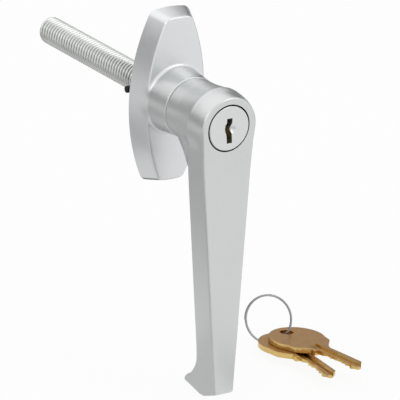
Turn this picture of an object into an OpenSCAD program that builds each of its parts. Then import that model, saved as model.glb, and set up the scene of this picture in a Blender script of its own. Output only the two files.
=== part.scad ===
// Keyed locking lever handle: escutcheon plate, turning lever with a wafer lock in its head,
// threaded spindle behind, and two keys on a split ring.
// Frame: origin on the spindle's axis in the plane of the panel, +X right seen from the front,
// +Y through the panel along the spindle, +Z up. Millimetres.

/* [Escutcheon plate] */
// Height of the plate where it meets the panel
plate_len = 60.6; // [58:0.1:80]
// Width of the plate where it meets the panel
plate_w = 28.2; // [27:0.1:34]
// Thickness of the plate, panel to front face
plate_t = 6.6; // [6:0.1:9]
// Radius of the two long bowed sides
side_r = 68; // [64:1:90]
// Radius of the slightly arched ends
end_r = 38; // [32:1:60]
// How far the long sides draw in towards the front face
side_draft = 2.9; // [1.5:0.1:3.2]
// How far the ends draw in towards the front face
end_draft = 1.8; // [1:0.1:2.6]
// Wall round the hollow back
plate_wall = 2.2; // [1.6:0.1:2.8]
// Thickness of the plate's front face over the hollow
face_wall = 2.7; // [2.2:0.1:3]
// Distance between the two tapped holes
screw_spacing = 44.45; // [40:0.05:46]
// Radius of the tapped holes
screw_r = 1.95; // [1.5:0.05:2.3]
// Depth of the tapped holes
screw_depth = 5; // [4:0.1:5.5]
// Radius of the posts round the tapped holes
post_r = 4.2; // [3.6:0.1:4.8]

/* [Boss] */
// Length of the boss in front of the plate
boss_len = 9.7; // [9:0.1:14]
// Radius of the boss at the plate
boss_base_r = 11.5; // [11:0.1:12.5]
// Radius of the boss at its front end
boss_end_r = 10.6; // [10.5:0.1:11.2]
// Open seam between the boss and the turning hub
seam = 0.15; // [0.1:0.01:0.3]

/* [Lever] */
// Distance from the boss seam to the front face of the head
hub_len = 21.95; // [21:0.05:26]
// Radius of the hub at the seam
hub_r = 10.45; // [10.3:0.05:11]
// Largest radius of the head
head_r = 11.75; // [11:0.05:13]
// Radius of the head's front edge
head_front_r = 10.2; // [9.6:0.05:10.8]
// Axis to the lowest point of the lever
lever_len = 94.8; // [85:0.1:120]
// Lever thickness, front to back
lever_t = 9.7; // [8:0.1:11]
// Half width of the lever at the axis
lever_half_top = 10.5; // [9.5:0.1:11]
// Half width of the lever at its lower end
lever_half_end = 3.95; // [3.5:0.05:6]
// How far the lower end leans out from the panel
lever_lean = 6.7; // [3:0.1:9]
// Depth below the axis at which the lever starts to lean
lever_bend = 10; // [8:0.5:14]
// Depth of the flare under the hub, where it runs into the lever's back
flare_deep = 20; // [14:0.5:22]
// Length of that flare along the spindle's axis
flare_len = 11.9; // [10:0.1:12.2]
// Straight tail in which the flare fades into the lever
flare_tail = 14; // [8:0.5:20]
// Half width of the gusset under the hub
gusset_half = 7; // [5:0.1:8]
// How far the front edge of the lower end stands above its heel
toe_rise = 3; // [1:0.1:4]
// Lever's front face at its lower end, front to heel
heel_depth = 9.5; // [6:0.1:9.7]
// Bevel along the lever's long front edges
edge_bevel = 1.5; // [0.5:0.1:2]
// Radius of the finger hook's inner curve
hook_r = 12.2; // [10:0.1:14]
// How far the finger hook reaches behind the lever
hook_reach = 8.2; // [6:0.1:9]
// Radius of the hook's tip
hook_tip_r = 1.15; // [0.8:0.05:1.3]
// Radius of the lower end's corners
corner_r = 2.2; // [1:0.1:2.5]

/* [Spindle] */
// Outer radius of the spindle's thread
spindle_r = 4.7625; // [4.7:0.0025:4.9]
// Thread pitch
pitch = 1.5875; // [1.25:0.0125:2]
// Length of spindle behind the panel face
spindle_out = 72.8; // [50:0.1:120]
// Length of spindle held inside the lever
spindle_in = 8.6; // [7:0.1:9.5]
// Radius of the spigot that turns in the boss
spigot_r = 8; // [7.9:0.05:8.2]
// Radial clearance of the spigot and of the plug in their bores
run_gap = 0.05; // [0.02:0.01:0.09]
// Radius of the black cross pin behind the plate
cross_pin_r = 1.2; // [1:0.05:1.5]
// Length of the black cross pin
cross_pin_len = 20; // [18:0.5:24]
// Radius of the pin that locks the spindle in the lever
spindle_pin_r = 1.2; // [0.8:0.05:1.4]
// Outer radius of the retaining washer
washer_r = 10.3; // [9.5:0.1:12]
// Thickness of the retaining washer
washer_t = 1.6; // [1.2:0.1:2]
// Height of the wave washer
wave_h = 2.4; // [2:0.1:3]
// Thickness of the wave washer's strip
wave_t = 0.5; // [0.3:0.05:0.6]
// Thickness of the thrust collar
collar_t = 2.8; // [2:0.1:4]
// Outer radius of the thrust collar
collar_r = 9; // [8:0.1:10]

/* [Lock] */
// Radius of the bore in the lever's head
head_bore_r = 8; // [7.95:0.05:8.3]
// Radius of the plug's front flange
flange_r = 7.75; // [7.5:0.05:7.85]
// Thickness of the plug's front flange
flange_t = 1.8; // [1.2:0.1:2]
// Radius of the plug
plug_r = 6; // [5.95:0.05:6.2]
// Radial clearance of the shell in the head
shell_gap = 0.1; // [0.03:0.01:0.15]
// Number of wafers
wafers = 5; // [5:1:5]
// Distance between wafers
wafer_pitch = 2.6; // [2.3:0.05:2.7]
// Plug face to the middle of the first wafer
first_wafer = 4; // [3.6:0.1:4.2]
// Wafer thickness
wafer_t = 0.8; // [0.6:0.05:1]
// Half width of a wafer
wafer_half = 3.3; // [3.1:0.05:3.4]
// Height of a wafer
wafer_h = 9.7; // [9.2:0.05:9.8]
// Travel of a wafer into the shell's groove
wafer_lift = 1; // [0.6:0.05:1.1]
// Distance of the drive pin from the axis
drive_offset = 2.2; // [1.8:0.05:2.3]
// Radius of the drive pin
drive_pin_r = 1.15; // [0.8:0.05:1.2]
// Thickness of the locking bolt
bolt_t = 2.6; // [2:0.05:2.9]
// Half width of the locking bolt's nose
nose_half = 2; // [1.5:0.05:2.2]

/* [Keys] */
// Key thickness
key_t = 1.9; // [1.7:0.05:2]
// Radius of a key's bow
bow_r = 9.85; // [8.5:0.05:11]
// Shoulder to tip of the blade
blade_len = 18; // [17:0.1:18]
// Width of the blade
blade_w = 5.2; // [5:0.1:5.8]
// Radius of the hole in the bow
key_hole_r = 2.35; // [2.3:0.05:2.6]
// Hole to the middle of the bow
bow_back = 5.45; // [5:0.05:6]
// Hole to the shoulder
neck_len = 19.6; // [19:0.1:22]
// Heading of the upper key's blade, seen from above
key_1_heading = -84.5; // [-90:0.5:-80]
// Heading of the lower key's blade, seen from above
key_2_heading = -97.5; // [-105:0.5:-94]
// Mean radius of the split ring
ring_r = 8.27; // [8:0.01:9]
// Ring strip, across
ring_strip = 0.75; // [0.6:0.05:0.9]
// Ring thickness, both turns together
ring_t = 0.9; // [0.7:0.05:1]

/* [Hidden] */
$fn = 96;

// Small clearances
cut = 0.5;             // how far a cut runs past a face
slip = 0.1;            // gap between parts that slide on each other
pin_fit = 0.02;        // radial gap of a pin in its own hole
stack_gap = 0.05;      // gap between the washers behind the plate

// Stations along the spindle's axis
boss_end = -(plate_t + boss_len);
hub_back = boss_end - seam;
face_y = hub_back - hub_len;
spigot_end = -0.3;

// Handle travel and where the locking bolt can drop in
turn = 90;
lug_at = 360;
lug_span = 24;
lug_len = 2;
lug_r1 = 8.3;
lug_r2 = 9.7;

// Locking bolt: it slides level, and the drive pin swings 45 degrees to each side of square to it
bolt_heading = -90;    // turned about the spindle's axis from straight up
bolt_throw = 2 * drive_offset * sin(45);
bolt_front = boss_end + 3 * slip;
bolt_back = bolt_front + bolt_t;
nose_rest = 6.3;
yoke_half = 4.3;
yoke_low = -4.3;
yoke_top = 1.9;
notch_depth = 0.2;     // room above the thrown bolt

// Drive cam, plug tail and clip, from the bolt forward
cam_t = 2.3;
cam_r = 5.4;
cam_back = bolt_front - 2 * slip;
cam_front = cam_back - cam_t;
tail = 4.2;
tail_len = 1.3;
plug_end = cam_front - slip;
clip_t = 0.8;
clip_r = 6.9;
groove_r = 4.9;
clip_back = plug_end - 0.65;
clip_front = clip_back - clip_t;
shell_back = clip_front - 0.15;
flange_back = face_y + flange_t;
shell_r = head_bore_r - shell_gap;

// Keyway, wafers and their springs
keyway_x = -0.1;       // middle of the key's thickness in the plug
keyway_top = 3.5;
keyway_low = -5.1;
keyway_end = face_y + blade_len + 3 * slip;
// Bent sides of the keyway, from its straight top part down: offset and height
keyway_right = [[0, 1.85], [-0.75, 0.65], [-0.75, -0.35], [0, -1.7], [0.2, -3.2], [0.4, keyway_low]];
keyway_left = [[0.45, keyway_low], [0.25, -3.3], [0, -1.9], [-0.45, -0.9], [-0.65, 0.1], [-0.55, 1.2],
    [0, 2]];
guide_at = [1.2, -0.4]; // countersink beside the keyway
guide_r = 1.4;
guide_deep = 0.9;
wafer_y = [for (i = [0 : wafers - 1]) face_y + first_wafer + i * wafer_pitch];
cut_depth = [1.5, 1.1, 1.9, 1.3, 1];
window_half = 1.3;
slot_gap = 0.06;
lug_half = 0.6;
spring_x = wafer_half + 0.62;
spring_r = 0.42;
spring_wire = 0.12;
spring_low = -3.1;
pocket_x = wafer_half + 1.3;
groove_top = wafer_h / 2 + wafer_lift + 0.45;
groove_half = wafer_half + 0.2;

// Shell pin on the joint between shell and head
shell_pin_r = 0.9;
shell_pin_at = 315;
shell_pin_len = 8;
shell_pin_out = 3;      // of it, past the shell's back
shell_web = 1;          // shell left whole at each end of its spring grooves

// Seal ring in its groove on the spigot
seal_wire = 0.72;
seal_y = -11.05;
seal_groove_w = 1.9;
seal_groove_r = spigot_r - 2 * seal_wire - pin_fit;

// Spindle stack behind the plate
hole_gap = 0.14;
spindle_pin_y = -4.5;
spindle_pin_half = spigot_r - 0.2;
washer_y = stack_gap;
wave_y = washer_y + washer_t + stack_gap;
collar_y = wave_y + wave_h + stack_gap;
cross_pin_y = collar_y + collar_t + stack_gap + cross_pin_r;
thread_depth = 0.6134 * pitch;
crest = pitch / 8;

// Head, from the seam forward
waist = [0.45, 7.5];   // how much wider the hub is, and where it starts to open into the head
head_from = 14.5;
head_land = 2;
head_ease = [0.45, 2.4]; // slight taper before the front edge
head_edge = 0.45;

// Lever outline
lever_slope = lever_lean / (lever_len - lever_bend);
toe_z = -lever_len + toe_rise;
tip_y = face_y - lever_lean + lever_t + hook_reach - hook_tip_r;
tip_up = 2.6;          // hook's tip above the lowest point
hook_up = 14.6;        // where the hook leaves the lever's back
tip_z = -lever_len + tip_up;
hook_top = -lever_len + hook_up;

// Key outline, hole at the origin, blade along -Y, cut edge on the left
back_half = 2.75;      // hole's axis to the blade's back edge
stop_half = 3.9;
hip_half = 7.9;        // lower corners of the bow
hip_at = 13.6;
neck_curve = [[-6.5, -14.9], [-3.9, -17.2]]; // left side, from the hip to the stop
back_step = 2.2;       // slanted step behind the blade's back edge
back_out = 1.2;        // how far the step stands out past it
tip_cut = [1.2, 1.5];  // blade's tip at the cut edge, along and across
tip_chamfer = 1.9;     // and at the back edge
groove_bend = [1.25, 2.35]; // flat of the groove's floor, from its near edge
groove_run = 10;       // groove runs past the blade at both ends, together
groove_from = 1.45;    // key groove, from the blade's back edge
groove_to = 5.3;
groove_floor = 1.15;   // metal left under the groove
relief = 0.4;          // milled off the underside along the cut edge
relief_w = 1.9;

// Ring and keys lie on a bench that leans away from the viewer: lean, its axis and its pivot
bench_lean = 3.4;
bench_turn = -35.16;
bench_pivot = [48.9, -12, -91.1]; // any point of the bench's plane
ring_up = 5.09;        // ring's centre above the upper key's lower face
ring_turn = -143.7;
ring_rise = 14.1;
key_1_hole = [47.3, -13.9];
key_2_hole = [45.35, -12.4];
key_1_z = -92.2;
key_2_z = key_1_z - key_t - stack_gap;
ring_centre = [43.8, -7.52, key_1_z + ring_up];

// Front of a leaning line at height z
function lever_front(z) = face_y + min(0, (z + lever_bend) * lever_slope);

// ---- Shared shapes ----

// Cylinder or cone about the spindle's axis
module y_cyl(r, y0, y1, r_end = 0) {
    translate([0, y0, 0]) rotate([-90, 0, 0])
        cylinder(r1 = r, r2 = r_end > 0 ? r_end : r, h = y1 - y0);
}

// XZ outline made solid from y0 to y1
module y_slab(y0, y1) {
    translate([0, y1, 0]) rotate([90, 0, 0]) linear_extrude(height = y1 - y0) children();
}

// YZ outline made solid to both sides of the middle
module x_slab(half) {
    translate([-half, 0, 0]) rotate([90, 0, 90]) linear_extrude(height = 2 * half) children();
}

// [radius, y] outline turned about the spindle's axis
module y_turned(outline) {
    rotate([-90, 0, 0]) rotate_extrude() polygon(outline);
}

// Round pin along X
module x_pin(r, half, y) {
    translate([-half, y, 0]) rotate([0, 90, 0]) cylinder(r = r, h = 2 * half);
}

// Pie slice, for arcs about the axis
module pie(r, a0, a1) {
    polygon(concat([[0, 0]], [for (i = [0 : 12]) let (a = a0 + (a1 - a0) * i / 12) r * [cos(a), sin(a)]]));
}

// Flat washer on the spindle
module washer(r_out, y0, t) {
    difference() {
        y_cyl(r_out, y0, y0 + t);
        y_cyl(spindle_r + hole_gap, y0 - cut, y0 + t + cut);
    }
}

// ---- Escutcheon plate ----

// The plate's four drafted walls, drawn in by inset, from the panel to the given depth
module plate_form(inset, depth) {
    side_in = side_draft * depth / plate_t;
    end_in = end_draft * depth / plate_t;
    intersection() {
        translate([side_r - plate_w / 2, 0, 0])
            y_cyl(side_r - inset - side_in, -depth, 0, side_r - inset);
        translate([plate_w / 2 - side_r, 0, 0])
            y_cyl(side_r - inset - side_in, -depth, 0, side_r - inset);
        translate([0, 0, plate_len / 2 - end_r])
            y_cyl(end_r - inset - end_in, -depth, 0, end_r - inset);
        translate([0, 0, end_r - plate_len / 2])
            y_cyl(end_r - inset - end_in, -depth, 0, end_r - inset);
    }
}

module base_plate() {
    hollow = plate_t - face_wall;
    bore = spigot_r + run_gap;
    color("silver") difference() {
        union() {
            difference() {
                plate_form(0, plate_t);
                difference() {
                    plate_form(plate_wall, hollow);
                    y_cyl(boss_base_r, -plate_t, cut);
                    for (s = [-1, 1]) translate([0, 0, s * screw_spacing / 2])
                        y_cyl(post_r, -plate_t, cut);
                }
            }
            y_cyl(boss_end_r, boss_end, -plate_t + 1, boss_base_r);
        }
        y_cyl(bore, boss_end - cut, cut);
        for (s = [-1, 1]) translate([0, 0, s * screw_spacing / 2])
            y_cyl(screw_r, -screw_depth, cut);
        for (a = [0, turn]) rotate([0, bolt_heading + a, 0]) bolt_notch();
        stop_pocket();
    }
}

// Slot in the boss's end that the thrown bolt drops into
module bolt_notch() {
    top = nose_rest + bolt_throw + notch_depth;
    half = nose_half + 1.5 * slip;
    translate([-half, boss_end - cut, 0])
        cube([2 * half, bolt_back + 2 * slip - boss_end + cut, top]);
}

// Arc in the boss's end that the lever's stop lug swings in
module stop_pocket() {
    y_slab(boss_end - cut, hub_back + lug_len + 2 * slip)
        intersection() {
            circle(r = lug_r2 + 1.5 * slip);
            pie(2 * lug_r2, lug_at - turn - lug_span / 2 - 1, lug_at + lug_span / 2 + 1);
        }
}

// ---- Lever ----

// Side outline of the lever's blade, with its finger hook
module lever_side() {
    end_y = face_y - lever_lean;
    polygon([[face_y, 0], [face_y, -lever_bend], [lever_front(toe_z), toe_z],
        [end_y + heel_depth, -lever_len], [end_y + lever_t, -lever_len + 0.2],
        [face_y + lever_t, -lever_bend], [face_y + lever_t, 0]]);
    difference() {
        polygon([[lever_front(hook_top) + lever_t / 2, hook_top], [end_y + heel_depth, -lever_len],
            [tip_y, tip_z - hook_tip_r], [tip_y, hook_top]]);
        translate([lever_front(hook_top) + lever_t + hook_r, hook_top]) circle(r = hook_r);
    }
    translate([tip_y, tip_z]) circle(r = hook_tip_r);
}

// Flare that carries the hub down into the lever's back
module hub_flare() {
    root = hub_r - 0.2;
    low = root + flare_deep + flare_tail;
    end = lever_front(-low) + lever_t - 0.4;
    intersection() {
        y_turned(concat([[0, end], [low, end]],
            [for (i = [8 : -1 : 0]) let (a = 10 * i)
                [root + flare_deep * (1 - cos(a)), hub_back - flare_len * sin(a)]],
            [[0, hub_back]]));
        translate([-gusset_half, end, -low]) cube([2 * gusset_half, hub_back - end, low]);
    }
}

// The blade of the lever with its long front edges bevelled
module lever_blade() {
    taper = atan((lever_half_top - lever_half_end) / lever_len);
    side = edge_bevel * sqrt(2);
    difference() {
        intersection() {
            x_slab(lever_half_top) lever_side();
            y_slab(face_y - lever_lean - cut, tip_y + hook_reach) lever_front_outline();
        }
        for (s = [-1, 1])
            translate([s * (lever_half_top - lever_bend * tan(taper)), face_y, -lever_bend])
                rotate([-atan(lever_slope), s * taper, 0]) rotate([0, 0, 45])
                    cube([side, side, 2 * lever_len], center = true);
    }
}

// Front outline of the lever: tapers down to rounded corners
module lever_front_outline() {
    end = lever_half_end;
    polygon([[-lever_half_top, 0], [-end, -lever_len + corner_r], [corner_r - end, -lever_len],
        [end - corner_r, -lever_len], [end, -lever_len + corner_r], [lever_half_top, 0]]);
    for (s = [-1, 1]) translate([s * (end - corner_r), -lever_len + corner_r]) circle(r = corner_r);
}

module hub_solid() {
    y_turned([[0, hub_back], [hub_r, hub_back], [hub_r + waist[0], hub_back - waist[1]],
        [head_r - slip, hub_back - head_from], [head_r, hub_back - head_from - head_land],
        [head_r - head_ease[0], face_y + head_ease[1]],
        [head_front_r + head_edge, face_y + head_edge], [head_front_r, face_y], [0, face_y]]);
}

module lever() {
    color("silver") difference() {
        union() {
            hub_solid();
            y_cyl(spigot_r, hub_back - cut, spigot_end);
            lever_blade();
            hub_flare();
            stop_lug();
        }
        lock_space();
        bolt_channel();
        y_cyl(spindle_r + stack_gap, -spindle_in - slip, cut);
        x_pin(spindle_pin_r + pin_fit, spigot_r + cut, spindle_pin_y);
        difference() {
            y_cyl(spigot_r + cut, seal_y - seal_groove_w / 2, seal_y + seal_groove_w / 2);
            y_cyl(seal_groove_r, seal_y - seal_groove_w, seal_y + seal_groove_w);
        }
        shell_pin_hole();
    }
}

module stop_lug() {
    y_slab(hub_back - cut, hub_back + lug_len)
        difference() {
            intersection() {
                circle(r = lug_r2);
                pie(2 * lug_r2, lug_at - lug_span / 2, lug_at + lug_span / 2);
            }
            circle(r = spigot_r - cut);
        }
}

// Room in the lever for the shell, the clip and the drive cam
module lock_space() {
    y_cyl(head_bore_r, face_y - cut, clip_back + 1.5 * slip);
    y_cyl(plug_r + 2 * slip, clip_back, cam_front);
    y_cyl(cam_r + 2 * slip, clip_back, bolt_front);
}

// Cross channel that guides the locking bolt
module bolt_channel() {
    y0 = bolt_front - slip;
    depth = bolt_t + 2 * slip;
    rotate([0, bolt_heading, 0]) {
        translate([-yoke_half - slip, y0, yoke_low - slip])
            cube([2 * (yoke_half + slip), depth, yoke_top + bolt_throw - yoke_low + 3 * slip]);
        translate([-nose_half - slip, y0, 0]) cube([2 * (nose_half + slip), depth, spigot_r + cut]);
    }
}

module shell_pin_hole() {
    at_shell_pin() y_cyl(shell_pin_r + pin_fit, shell_back - shell_pin_len + shell_pin_out - slip, hub_back + cut);
}

module at_shell_pin() {
    rotate([0, -shell_pin_at, 0]) translate([head_bore_r, 0, 0]) children();
}

// ---- Spindle and what holds it ----

module spindle() {
    n = floor((spindle_out + spindle_in) / pitch);
    flank = thread_depth * tan(30);
    root = spindle_r - thread_depth;
    ridges = [for (i = [0 : n - 1]) let (y = -spindle_in + i * pitch)
        each [[root, y], [spindle_r, y + flank], [spindle_r, y + flank + crest],
            [root, y + 2 * flank + crest]]];
    color("gainsboro") difference() {
        y_turned(concat([[0, -spindle_in]], ridges, [[root, spindle_out], [0, spindle_out]]));
        x_pin(spindle_pin_r + pin_fit, 2 * spindle_r, spindle_pin_y);
        x_pin(cross_pin_r + pin_fit, 2 * spindle_r, cross_pin_y);
    }
}

module spindle_pin() {
    color("dimgray") x_pin(spindle_pin_r, spindle_pin_half, spindle_pin_y);
}

module cross_pin() {
    color("black") x_pin(cross_pin_r, cross_pin_len / 2, cross_pin_y);
}

module retaining_washer() {
    color("lightgray") washer(washer_r, washer_y, washer_t);
}

module thrust_collar() {
    color("gray") washer(collar_r, collar_y, collar_t);
}

// Strip ring with three waves
module wave_washer() {
    r_in = spindle_r + 3 * hole_gap;
    r_out = collar_r;
    n = 48;
    mid = wave_y + wave_h / 2;
    rise = (wave_h - wave_t) / 2;
    points = [for (i = [0 : n - 1]) let (a = 360 * i / n, y = mid + rise * cos(3 * a))
        for (p = [[r_in, -1], [r_out, -1], [r_out, 1], [r_in, 1]])
            [p[0] * cos(a), y + p[1] * wave_t / 2, p[0] * sin(a)]];
    faces = [for (i = [0 : n - 1], j = [0 : 3]) let (k = (i + 1) % n, m = (j + 1) % 4)
        each [[4 * i + j, 4 * i + m, 4 * k + m], [4 * i + j, 4 * k + m, 4 * k + j]]];
    color("slategray") polyhedron(points, faces);
}

module seal_ring() {
    color("black") rotate([-90, 0, 0]) translate([0, 0, seal_y])
        rotate_extrude() translate([spigot_r + run_gap / 2 - seal_wire, 0]) circle(r = seal_wire);
}

// ---- Lock ----

module lock_shell() {
    color("darkgray") difference() {
        y_cyl(shell_r, flange_back, shell_back);
        y_cyl(plug_r + run_gap, flange_back - cut, shell_back + cut);
        for (a = [0, 90]) rotate([0, a, 0])
            translate([-groove_half, flange_back + shell_web, 0])
                cube([2 * groove_half, shell_back - flange_back - 2 * shell_web, groove_top]);
        shell_pin_hole();
    }
}

module shell_pin() {
    y0 = shell_back - shell_pin_len + shell_pin_out;
    color("gray") at_shell_pin() y_cyl(shell_pin_r, y0, y0 + shell_pin_len);
}

// Keyway as seen from the front, bent round the key's groove
module keyway_outline() {
    right = keyway_x + key_t / 2 + slip;
    left = keyway_x - key_t / 2 - slip;
    polygon(concat([[left, keyway_top], [right, keyway_top]],
        [for (p = keyway_right) [right + p[0], p[1]]], [for (p = keyway_left) [left + p[0], p[1]]]));
}

module lock_plug() {
    color("lightgray") difference() {
        union() {
            y_turned([[0, face_y], [flange_r - 0.3, face_y], [flange_r, face_y + 0.3],
                [flange_r, flange_back], [0, flange_back]]);
            y_cyl(plug_r, flange_back - cut, plug_end);
            translate([-tail / 2, plug_end - cut, -tail / 2]) cube([tail, tail_len + cut, tail]);
        }
        y_slab(face_y - cut, keyway_end) keyway_outline();
        translate([guide_at[0], 0, guide_at[1]])
            y_cyl(guide_r + guide_r / guide_deep * cut, face_y - cut, face_y + guide_deep, 0.01);
        for (y = wafer_y) wafer_slot(y);
        difference() {
            y_cyl(plug_r + cut, clip_front - slip / 2, clip_back + slip / 2);
            y_cyl(groove_r, clip_front - cut, clip_back + cut);
        }
    }
}

// Slot right through the plug for one wafer, with its spring pocket
module wafer_slot(y) {
    t = wafer_t + slip;
    translate([-wafer_half - slot_gap, y - t / 2, -plug_r - cut])
        cube([2 * (wafer_half + slot_gap), t, 2 * (plug_r + cut)]);
    translate([0, y - spring_r - spring_wire - slot_gap, spring_low])
        cube([pocket_x, 2 * (spring_r + spring_wire + slot_gap), lug_half + wafer_lift + 2 * slip - spring_low]);
}

module wafer(i) {
    y = wafer_y[i];
    high = keyway_top;
    low = high - slip - blade_w + cut_depth[i];
    color("goldenrod") y_slab(y - wafer_t / 2, y + wafer_t / 2) {
        difference() {
            translate([-wafer_half, -wafer_h / 2]) square([2 * wafer_half, wafer_h]);
            translate([-window_half, low]) square([2 * window_half, high - low]);
        }
        translate([wafer_half - slip, -lug_half]) square([pocket_x - wafer_half, 2 * lug_half]);
    }
}

// Small coil spring from z0 up to z1
module coil(r, wire, z0, z1, turns) {
    steps = 10;
    sides = 6;
    n = turns * steps;
    points = [for (i = [0 : n], j = [0 : sides - 1]) let (a = 360 * i / steps, b = 360 * j / sides,
        d = r + wire * cos(b), z = z0 + wire + (z1 - z0 - 2 * wire) * i / n)
            [d * cos(a), d * sin(a), z + wire * sin(b)]];
    walls = [for (i = [0 : n - 1], j = [0 : sides - 1]) let (k = sides * i, m = (j + 1) % sides)
        each [[k + j, k + sides + j, k + sides + m], [k + j, k + sides + m, k + m]]];
    ends = [[for (j = [0 : sides - 1]) j], [for (j = [sides - 1 : -1 : 0]) sides * n + j]];
    polyhedron(points, concat(walls, ends));
}

module wafer_spring(i) {
    color("silver") translate([spring_x, wafer_y[i], 0])
        coil(spring_r, spring_wire, spring_low + slot_gap, -lug_half - slot_gap, 5);
}

// Open ring that snaps into the plug's groove behind the shell
module plug_clip() {
    color("dimgray") difference() {
        y_cyl(clip_r, clip_front, clip_back);
        y_cyl(groove_r + pin_fit, clip_front - cut, clip_back + cut);
        translate([0, clip_front - cut, -groove_r * 0.7])
            cube([2 * clip_r, clip_t + 2 * cut, groove_r * 1.4]);
    }
}

module drive_cam() {
    socket = tail + slip;
    color("darkgray") {
        difference() {
            y_cyl(cam_r, cam_front, cam_back);
            translate([-socket / 2, cam_front - cut, -socket / 2])
                cube([socket, tail_len + cut, socket]);
        }
        rotate([0, bolt_heading - 225, 0]) translate([drive_offset, 0, 0])
            y_cyl(drive_pin_r, cam_back - slip, bolt_back - 2 * slip);
    }
}

module lock_bolt() {
    reach = drive_offset * cos(45);
    room = drive_pin_r + 1.5 * slip;
    color("lightsteelblue") rotate([0, bolt_heading, 0]) y_slab(bolt_front, bolt_back) difference() {
        union() {
            translate([-yoke_half, yoke_low]) square([2 * yoke_half, yoke_top - yoke_low]);
            translate([-nose_half, 0]) square([2 * nose_half, nose_rest]);
        }
        translate([-drive_offset - room, -reach - room])
            square([drive_offset - reach + 2 * room, 2 * room]);
    }
}

// ---- Keys ----

// Flat key, hole at the origin, blade along -Y, one face at z = 0
module key() {
    tip = -neck_len - blade_len;
    edge = back_half - blade_w;
    difference() {
        linear_extrude(height = key_t) difference() {
            union() {
                translate([0, -bow_back]) circle(r = bow_r);
                polygon(concat([[-bow_r, -bow_back], [-hip_half, -hip_at]], neck_curve,
                    [[-stop_half, -neck_len], [back_half, -neck_len],
                    [back_half + back_out, back_step - neck_len], [hip_half, -hip_at],
                    [bow_r, -bow_back]]));
                polygon([[edge, -neck_len + cut], [edge, tip + tip_cut[0]], [edge + tip_cut[1], tip],
                    [back_half - tip_chamfer, tip], [back_half, tip + tip_chamfer],
                    [back_half, -neck_len + cut]]);
            }
            circle(r = key_hole_r);
            for (i = [0 : wafers - 1])
                translate([edge, -neck_len - first_wafer - i * wafer_pitch]) key_cut(cut_depth[i]);
        }
        translate([back_half, groove_run / 2 - neck_len, key_t / 2]) rotate([90, 0, 0])
            linear_extrude(height = blade_len + groove_run) key_groove();
        translate([edge - cut, tip - cut, -cut])
            cube([relief_w + cut, blade_len + cut, relief + cut]);
    }
}

// Long groove in the blade that passes the bend in the keyway
module key_groove() {
    top = key_t / 2 + cut;
    low = groove_floor - key_t / 2;
    polygon([[-groove_from, top], [-groove_from, key_t / 2], [-groove_from - groove_bend[0], low],
        [-groove_from - groove_bend[1], low], [-groove_to, key_t / 2], [-groove_to, top]]);
}

// One cut in the blade's edge, flat at the bottom for its wafer
module key_cut(depth) {
    flat_half = wafer_t / 2 + slip;
    polygon([[-1, -flat_half - depth - 1], [depth, -flat_half], [depth, flat_half],
        [-1, flat_half + depth + 1]]);
}

// The leaning bench the ring and keys lie on
module on_bench() {
    translate(bench_pivot) rotate(a = -bench_lean, v = [cos(bench_turn), sin(bench_turn), 0])
        translate(-bench_pivot) children();
}

// Puts a key flat at height z, with its hole at the given point
module place_key(hole, z, heading) {
    on_bench() translate([hole[0], hole[1], z]) rotate([0, 0, heading + 90]) children();
}

module key_1() {
    color("darkgoldenrod") place_key(key_1_hole, key_1_z, key_1_heading) key();
}

module key_2() {
    color("darkgoldenrod") place_key(key_2_hole, key_2_z, key_2_heading) key();
}

module key_ring() {
    color("gray") on_bench() translate(ring_centre) rotate([0, 90 - ring_rise, ring_turn])
        rotate_extrude() translate([ring_r - ring_strip / 2, -ring_t / 2]) square([ring_strip, ring_t]);
}

base_plate();
lever();
spindle();
spindle_pin();
cross_pin();
retaining_washer();
wave_washer();
thrust_collar();
seal_ring();
lock_shell();
shell_pin();
lock_plug();
plug_clip();
drive_cam();
lock_bolt();
for (i = [1 : wafers]) wafer(i - 1);
for (i = [1 : wafers]) wafer_spring(i - 1);
key_ring();
key_1();
key_2();
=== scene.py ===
"""Locking lever handle: shaped pieces, finishes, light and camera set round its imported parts."""

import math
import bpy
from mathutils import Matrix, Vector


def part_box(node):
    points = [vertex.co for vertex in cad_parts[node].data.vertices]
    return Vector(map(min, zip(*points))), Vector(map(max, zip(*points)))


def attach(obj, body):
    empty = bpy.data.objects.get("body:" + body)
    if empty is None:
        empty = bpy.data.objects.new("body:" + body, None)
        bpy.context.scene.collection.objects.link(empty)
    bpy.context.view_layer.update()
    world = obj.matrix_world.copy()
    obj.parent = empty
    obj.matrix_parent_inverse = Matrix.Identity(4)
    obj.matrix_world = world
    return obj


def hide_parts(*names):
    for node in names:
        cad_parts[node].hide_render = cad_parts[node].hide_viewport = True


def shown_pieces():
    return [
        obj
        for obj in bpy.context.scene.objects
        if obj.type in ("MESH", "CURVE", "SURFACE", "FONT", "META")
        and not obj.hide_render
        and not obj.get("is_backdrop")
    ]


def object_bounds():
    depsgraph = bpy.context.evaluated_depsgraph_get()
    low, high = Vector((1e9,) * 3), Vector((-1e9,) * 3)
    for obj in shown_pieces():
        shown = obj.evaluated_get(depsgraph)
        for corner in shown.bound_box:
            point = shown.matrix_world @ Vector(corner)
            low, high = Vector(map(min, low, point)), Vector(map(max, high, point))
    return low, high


bl_info = {
    "name": "Locking lever handle",
    "version": (1, 0, 0),
    "blender": (4, 5, 0),
    "location": "View3D > Sidebar > Handle",
    "description": "Dresses the packed parts of a keyed lever handle, its spindle and its keys",
    "category": "Object",
}

import bmesh
import bpy
import numpy as np
from bpy.props import FloatProperty, FloatVectorProperty, PointerProperty
from mathutils import Matrix, Vector

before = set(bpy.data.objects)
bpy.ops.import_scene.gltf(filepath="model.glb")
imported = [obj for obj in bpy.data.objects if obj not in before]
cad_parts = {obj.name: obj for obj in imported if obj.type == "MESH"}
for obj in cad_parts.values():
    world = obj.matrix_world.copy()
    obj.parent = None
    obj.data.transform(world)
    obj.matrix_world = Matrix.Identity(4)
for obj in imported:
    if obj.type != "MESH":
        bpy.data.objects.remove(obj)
CAD_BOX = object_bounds()
MM = 0.001


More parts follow.
